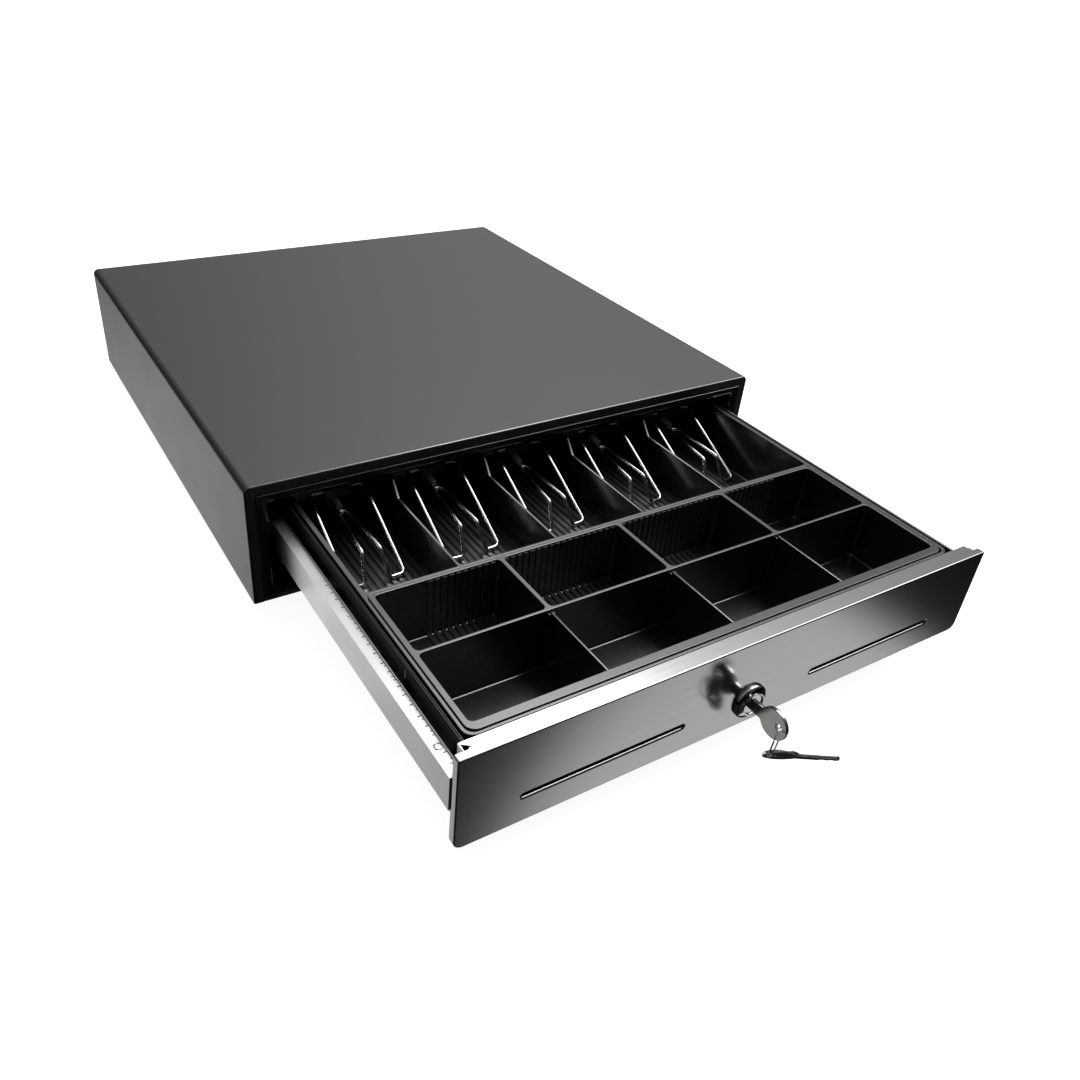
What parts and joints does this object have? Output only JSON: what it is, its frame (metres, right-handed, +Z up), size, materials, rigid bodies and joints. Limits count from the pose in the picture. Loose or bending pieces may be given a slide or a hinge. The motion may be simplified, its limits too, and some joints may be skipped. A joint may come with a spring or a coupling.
{
  "type": "cash drawer",
  "caption": "Steel cash drawer with a pull-out till of note bays and coin bays, wire note clips, ball slides, key lock and solenoid latch.",
  "frame": {"origin": "centre of the open drawer's footprint, on the surface that the feet stand on", "axes": "+Z up, -Y out of the drawer's mouth (the drawer opens towards -Y), +X to the right seen from the front"},
  "size_m": [0.41, 0.6989, 0.1],
  "materials": {
    "powder_coat": "satin fine-texture black powder coat",
    "bezel_black": "satin black paint",
    "pan_paint": "satin black paint",
    "stainless_front": "long horizontal brushing",
    "rail_zinc": "bright zinc, faint drawing lines",
    "zinc_plate": "bright zinc plate",
    "cage_steel": "plain rolled strip",
    "ball_steel": "polished",
    "clip_chrome": "bright chrome",
    "lock_chrome": "bright chrome",
    "key_nickel": "nickel plate, handled",
    "spring_wire": "drawn spring wire",
    "till_plastic": "fine-grained moulded ABS",
    "foot_rubber": "matt",
    "black_screw": "black oxide",
    "socket_plastic": "moulded",
    "switch_plastic": "moulded dark red",
    "coil_tape": "amber winding tape",
    "lead_vinyl": "wire insulation"
  },
  "bodies": {
    "case": {"case_cover": "powder_coat", "front_bezel": "bezel_black", "base_pan": "powder_coat", "rubber_feet": "foot_rubber", "foot_screws": "zinc_plate", "foot_nuts": "zinc_plate", "rear_panel": "powder_coat", "rear_screws": "black_screw", "cable_socket": "socket_plastic", "stop_bumpers": "foot_rubber", "left_case_rail": "zinc_plate", "right_case_rail": "zinc_plate", "lock_keeper": "zinc_plate", "latch_bracket": "zinc_plate", "latch_pivot": "zinc_plate", "pivot_clip": "zinc_plate", "latch_spring": "spring_wire", "spring_post": "zinc_plate", "solenoid_frame": "zinc_plate", "solenoid_coil": "coil_tape", "switch_stand": "zinc_plate", "microswitch": "switch_plastic", "eject_bracket": "zinc_plate", "eject_spring": "spring_wire", "wire_leads": "lead_vinyl"},
    "drawer": {"drawer_front": "stainless_front", "drawer_pan": "pan_paint", "left_drawer_rail": "rail_zinc", "right_drawer_rail": "rail_zinc", "rail_spacers": "zinc_plate", "till_tray": "till_plastic", "coin_tray": "till_plastic", "coin_dividers": "till_plastic", "clip_spring_1": "spring_wire", "clip_spring_2": "spring_wire", "clip_spring_3": "spring_wire", "clip_spring_4": "spring_wire", "clip_spring_5": "spring_wire", "lock_housing": "lock_chrome", "lock_nut": "zinc_plate", "striker_bracket": "zinc_plate", "striker_pin": "zinc_plate"},
    "left_cage": {"left_ball_cage": "cage_steel", "left_balls": "ball_steel"},
    "right_cage": {"right_ball_cage": "cage_steel", "right_balls": "ball_steel"},
    "clip_1": {"note_clip_1": "clip_chrome"},
    "clip_2": {"note_clip_2": "clip_chrome"},
    "clip_3": {"note_clip_3": "clip_chrome"},
    "clip_4": {"note_clip_4": "clip_chrome"},
    "clip_5": {"note_clip_5": "clip_chrome"},
    "lock": {"lock_plug": "lock_chrome", "lock_cam": "zinc_plate", "key": "key_nickel"},
    "ring": {"key_ring": "key_nickel"},
    "spare": {"spare_key": "key_nickel"},
    "latch": {"latch_lever": "zinc_plate"},
    "plunger": {"solenoid_plunger": "zinc_plate"},
    "switch": {"switch_lever": "spring_wire"}
  },
  "joints": [
    {"name": "drawer_slide", "type": "slide", "parent": "case", "child": "drawer", "axis": [0, 1, 0], "range_m": [0, 0.2375], "deforming": ["eject_spring"]},
    {"name": "left_cage_slide", "type": "slide", "parent": "case", "child": "left_cage", "axis": [0, 1, 0], "range_m": [0, 0.11875]},
    {"name": "right_cage_slide", "type": "slide", "parent": "case", "child": "right_cage", "axis": [0, 1, 0], "range_m": [0, 0.11875]},
    {"name": "clip_1_hinge", "type": "hinge", "parent": "drawer", "child": "clip_1", "pos_m": [-0.14, -0.0514, 0.076], "axis": [1, 0, 0], "range_deg": [-50, 0], "stiffness_Nm_per_rad": 0.01, "springref_deg": 34.38, "deforming": ["clip_spring_1"]},
    {"name": "clip_2_hinge", "type": "hinge", "parent": "drawer", "child": "clip_2", "pos_m": [-0.07, -0.0514, 0.076], "axis": [1, 0, 0], "range_deg": [-50, 0], "stiffness_Nm_per_rad": 0.01, "springref_deg": 34.38, "deforming": ["clip_spring_2"]},
    {"name": "clip_3_hinge", "type": "hinge", "parent": "drawer", "child": "clip_3", "pos_m": [0, -0.0514, 0.076], "axis": [1, 0, 0], "range_deg": [-50, 0], "stiffness_Nm_per_rad": 0.01, "springref_deg": 34.38, "deforming": ["clip_spring_3"]},
    {"name": "clip_4_hinge", "type": "hinge", "parent": "drawer", "child": "clip_4", "pos_m": [0.07, -0.0514, 0.076], "axis": [1, 0, 0], "range_deg": [-50, 0], "stiffness_Nm_per_rad": 0.01, "springref_deg": 34.38, "deforming": ["clip_spring_4"]},
    {"name": "clip_5_hinge", "type": "hinge", "parent": "drawer", "child": "clip_5", "pos_m": [0.14, -0.0514, 0.076], "axis": [1, 0, 0], "range_deg": [-50, 0], "stiffness_Nm_per_rad": 0.01, "springref_deg": 34.38, "deforming": ["clip_spring_5"]},
    {"name": "key_turn", "type": "hinge", "parent": "drawer", "child": "lock", "pos_m": [0, -0.303, 0.0415], "axis": [0, 1, 0], "range_deg": [0, 90]},
    {"name": "ring_swing", "type": "hinge", "parent": "lock", "child": "ring", "pos_m": [0, -0.3276, 0.0408], "axis": [1, 0, 0], "range_deg": [-70, 20]},
    {"name": "spare_key_swing", "type": "hinge", "parent": "ring", "child": "spare", "pos_m": [0, -0.3276, 0.0216], "axis": [0.9073, 0.4206, 0], "range_deg": [-25, 25]},
    {"name": "latch_pivot_turn", "type": "hinge", "parent": "case", "child": "latch", "pos_m": [0.015, 0.318, 0.048], "axis": [0, 0, 1], "range_deg": [0, 15], "stiffness_Nm_per_rad": 0.02, "springref_deg": -8.59, "deforming": ["latch_spring"]},
    {"name": "plunger_slide", "type": "slide", "parent": "case", "child": "plunger", "axis": [1, 0, 0], "range_m": [0, 0.0042]},
    {"name": "switch_lever_turn", "type": "hinge", "parent": "case", "child": "switch", "pos_m": [0.001, 0.31, 0.048], "axis": [0, 0, 1], "range_deg": [0, 12]}
  ],
  "couplings": [
    {"joint": "left_cage_slide", "follows": "drawer_slide", "ratio": 0.5},
    {"joint": "right_cage_slide", "follows": "drawer_slide", "ratio": 0.5},
    {"joint": "plunger_slide", "follows": "latch_pivot_turn", "m_per_rad": 0.016},
    {"joint": "switch_lever_turn", "follows": "latch_pivot_turn", "ratio": 0.8}
  ]
}
